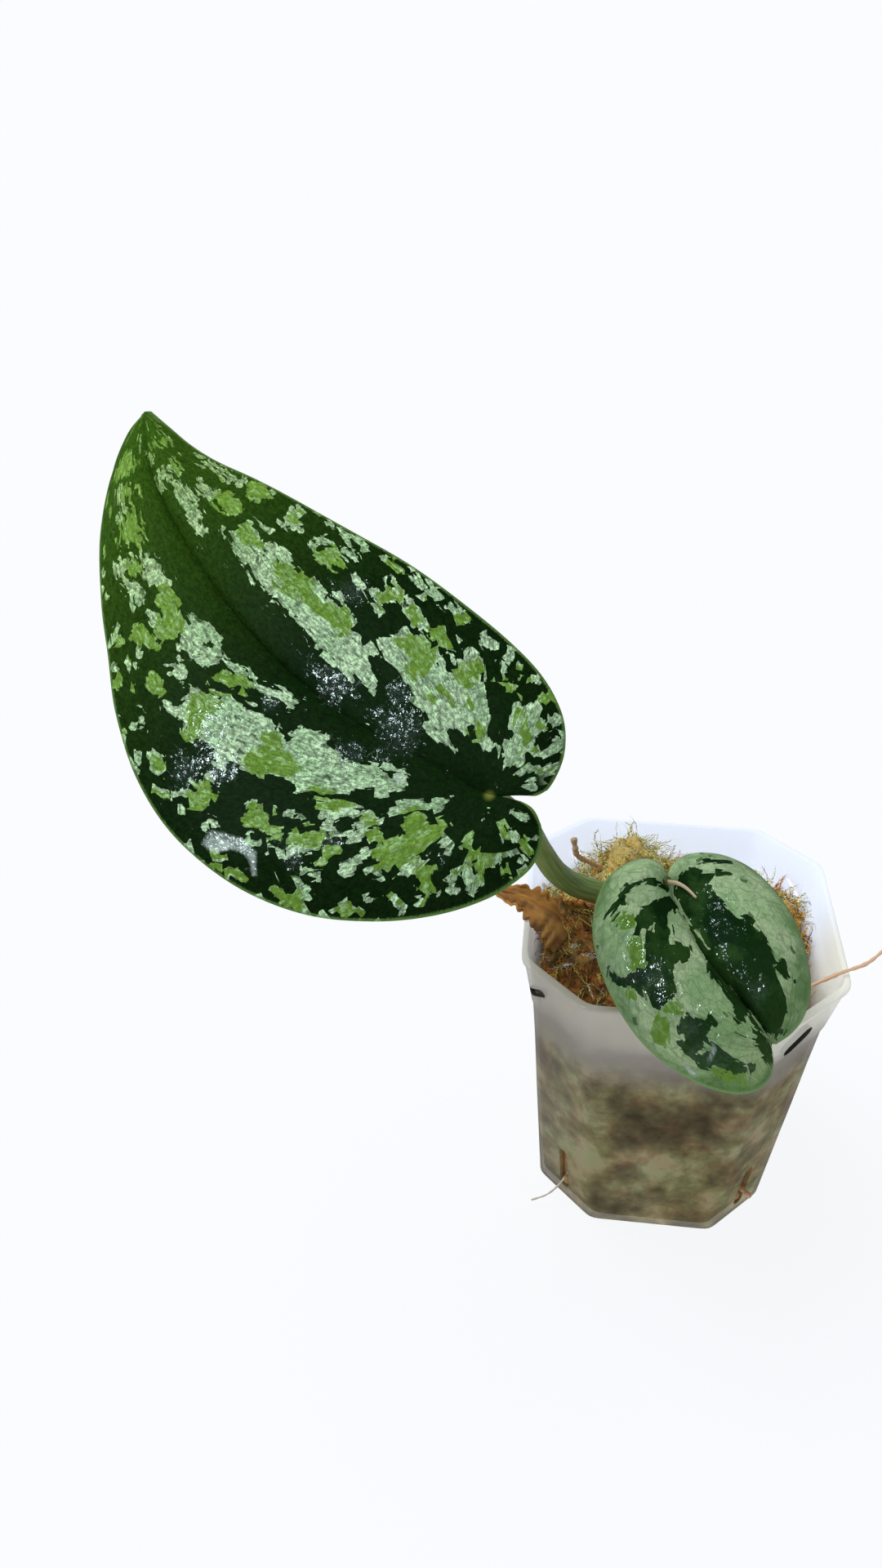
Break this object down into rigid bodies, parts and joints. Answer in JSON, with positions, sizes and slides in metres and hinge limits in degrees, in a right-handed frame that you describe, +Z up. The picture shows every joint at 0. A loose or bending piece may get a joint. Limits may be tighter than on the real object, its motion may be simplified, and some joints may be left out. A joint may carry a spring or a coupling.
{
  "type": "potted scindapsus",
  "caption": "Young satin pothos with a large and a small variegated heart-shaped leaf, rooted in moss in a square milky nursery pot with cut corners.",
  "frame": {"origin": "centre of the pot's base, on the surface that the pot stands on", "axes": "+Z up; X and Y are square to the pot's four flat sides; the large leaf lies towards -X and -Y"},
  "size_m": [0.1731, 0.1126, 0.2],
  "materials": {
    "pot_plastic": "milky, see-through, softly shiny thin plastic",
    "moss": "damp long-fibred moss, orange-brown with olive and cream strands",
    "stem": "green vine stem with nodes",
    "petiole": "smooth pale green leaf stalk",
    "leaf": "satin leathery leaf, dark green with silver and lime patches",
    "root": "thin orange-brown root",
    "dry_remains": "dry brown plant remains"
  },
  "bodies": {
    "root": {"pot": "pot_plastic", "moss": "moss", "stem": "stem", "petiole_large": "petiole", "petiole_small": "petiole", "leaf_large": "leaf", "leaf_small": "leaf", "root_over_rim": "root", "root_foot_left": "root", "root_foot_right": "root", "twig_dry": "dry_remains", "sheath_dry": "dry_remains", "scale_dry": "dry_remains"}
  },
  "joints": []
}
